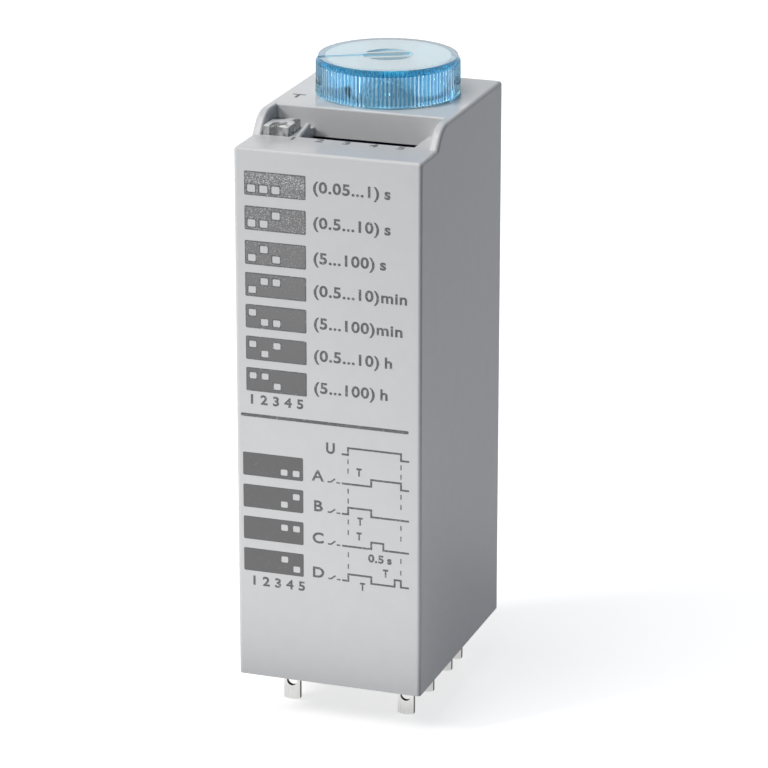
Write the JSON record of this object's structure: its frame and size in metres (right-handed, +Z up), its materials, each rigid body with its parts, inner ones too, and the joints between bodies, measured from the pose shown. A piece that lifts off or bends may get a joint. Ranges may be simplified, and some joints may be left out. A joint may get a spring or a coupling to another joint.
{
  "type": "plug-in timer relay",
  "caption": "Slim plug-in timer relay in a light grey moulded case, with a clear blue setting knob, a recessed slide switch, a lamp and flat blades that plug into a socket.",
  "frame": {"origin": "on the floor under the middle of the case, level with the blades' tips", "axes": "+X to the right seen from the printed front, +Y to the back, +Z up to the knob"},
  "size_m": [0.0208, 0.0274, 0.0706],
  "materials": {
    "case_plastic": "fine satin moulded light grey",
    "base_plastic": "moulded black",
    "tinned_blade": "bright tin plate over copper alloy",
    "bobbin_plastic": "natural nylon",
    "copper_wire": "enamelled copper",
    "soft_iron": "zinc plated soft iron",
    "spring_bronze": "rolled phosphor bronze",
    "contact_silver": "silver alloy",
    "board_laminate": "green solder mask",
    "link_pin": "tinned",
    "capacitor_sleeve": "shrunk dark sleeve",
    "film_case": "yellow moulded case",
    "chip_epoxy": "moulded black epoxy",
    "switch_black": "moulded black",
    "slider_white": "moulded white",
    "lamp_clear": "water-clear cast epoxy",
    "lamp_lead": "silvered lead frame",
    "pot_plastic": "moulded dark blue",
    "knob_clear": "polished clear light blue"
  },
  "bodies": {
    "case": {"case_cover": "case_plastic", "terminal_base": "base_plastic", "supply_blade_1": "tinned_blade", "supply_blade_2": "tinned_blade", "common_blade_1": "tinned_blade", "common_blade_2": "tinned_blade", "common_blade_3": "tinned_blade", "common_blade_4": "tinned_blade", "open_blade_1": "tinned_blade", "open_blade_2": "tinned_blade", "open_blade_3": "tinned_blade", "open_blade_4": "tinned_blade", "closed_blade_1": "tinned_blade", "closed_blade_2": "tinned_blade", "closed_blade_3": "tinned_blade", "closed_blade_4": "tinned_blade", "coil_bobbin": "bobbin_plastic", "coil_winding": "copper_wire", "coil_leads": "copper_wire", "flexible_lead_1": "copper_wire", "flexible_lead_2": "copper_wire", "flexible_lead_3": "copper_wire", "flexible_lead_4": "copper_wire", "coil_core": "soft_iron", "yoke": "soft_iron", "pole_piece": "soft_iron", "return_spring": "spring_bronze", "fixed_contacts": "contact_silver", "power_board": "board_laminate", "control_board": "board_laminate", "board_link_pins": "link_pin", "smoothing_capacitor": "capacitor_sleeve", "film_capacitor": "film_case", "bridge_rectifier": "chip_epoxy", "timing_chip": "chip_epoxy", "driver_transistor": "chip_epoxy", "dip_body": "switch_black", "led_lens": "lamp_clear", "led_frame": "lamp_lead", "pot_body": "pot_plastic"},
    "dial": {"knob": "knob_clear", "pot_rotor": "pot_plastic"},
    "clapper": {"armature": "soft_iron", "contact_carrier": "bobbin_plastic", "moving_contacts": "contact_silver", "moving_spring_1": "spring_bronze", "moving_spring_2": "spring_bronze", "moving_spring_3": "spring_bronze", "moving_spring_4": "spring_bronze"},
    "dip_1": {"dip_slider_1": "slider_white"},
    "dip_2": {"dip_slider_2": "slider_white"},
    "dip_3": {"dip_slider_3": "slider_white"},
    "dip_4": {"dip_slider_4": "slider_white"},
    "dip_5": {"dip_slider_5": "slider_white"}
  },
  "joints": [
    {"name": "knob_turn", "type": "hinge", "parent": "case", "child": "dial", "pos_m": [0.0003, 0.00485, 0.06665], "axis": [0, 0, 1], "range_deg": [-250, 20]},
    {"name": "armature_swing", "type": "hinge", "parent": "case", "child": "clapper", "pos_m": [0, -0.0026, 0.0092], "axis": [1, 0, 0], "range_deg": [0, 2.39], "stiffness_Nm_per_rad": 0.02, "springref_deg": -5.73, "deforming": ["return_spring", "flexible_lead_1", "flexible_lead_2", "flexible_lead_3", "flexible_lead_4"]},
    {"name": "dip_1_slide", "type": "slide", "parent": "case", "child": "dip_1", "axis": [0, 1, 0], "range_m": [0, 0.0019]},
    {"name": "dip_2_slide", "type": "slide", "parent": "case", "child": "dip_2", "axis": [0, 1, 0], "range_m": [0, 0.0019]},
    {"name": "dip_3_slide", "type": "slide", "parent": "case", "child": "dip_3", "axis": [0, 1, 0], "range_m": [0, 0.0019]},
    {"name": "dip_4_slide", "type": "slide", "parent": "case", "child": "dip_4", "axis": [0, 1, 0], "range_m": [0, 0.0019]},
    {"name": "dip_5_slide", "type": "slide", "parent": "case", "child": "dip_5", "axis": [0, 1, 0], "range_m": [0, 0.0019]}
  ]
}
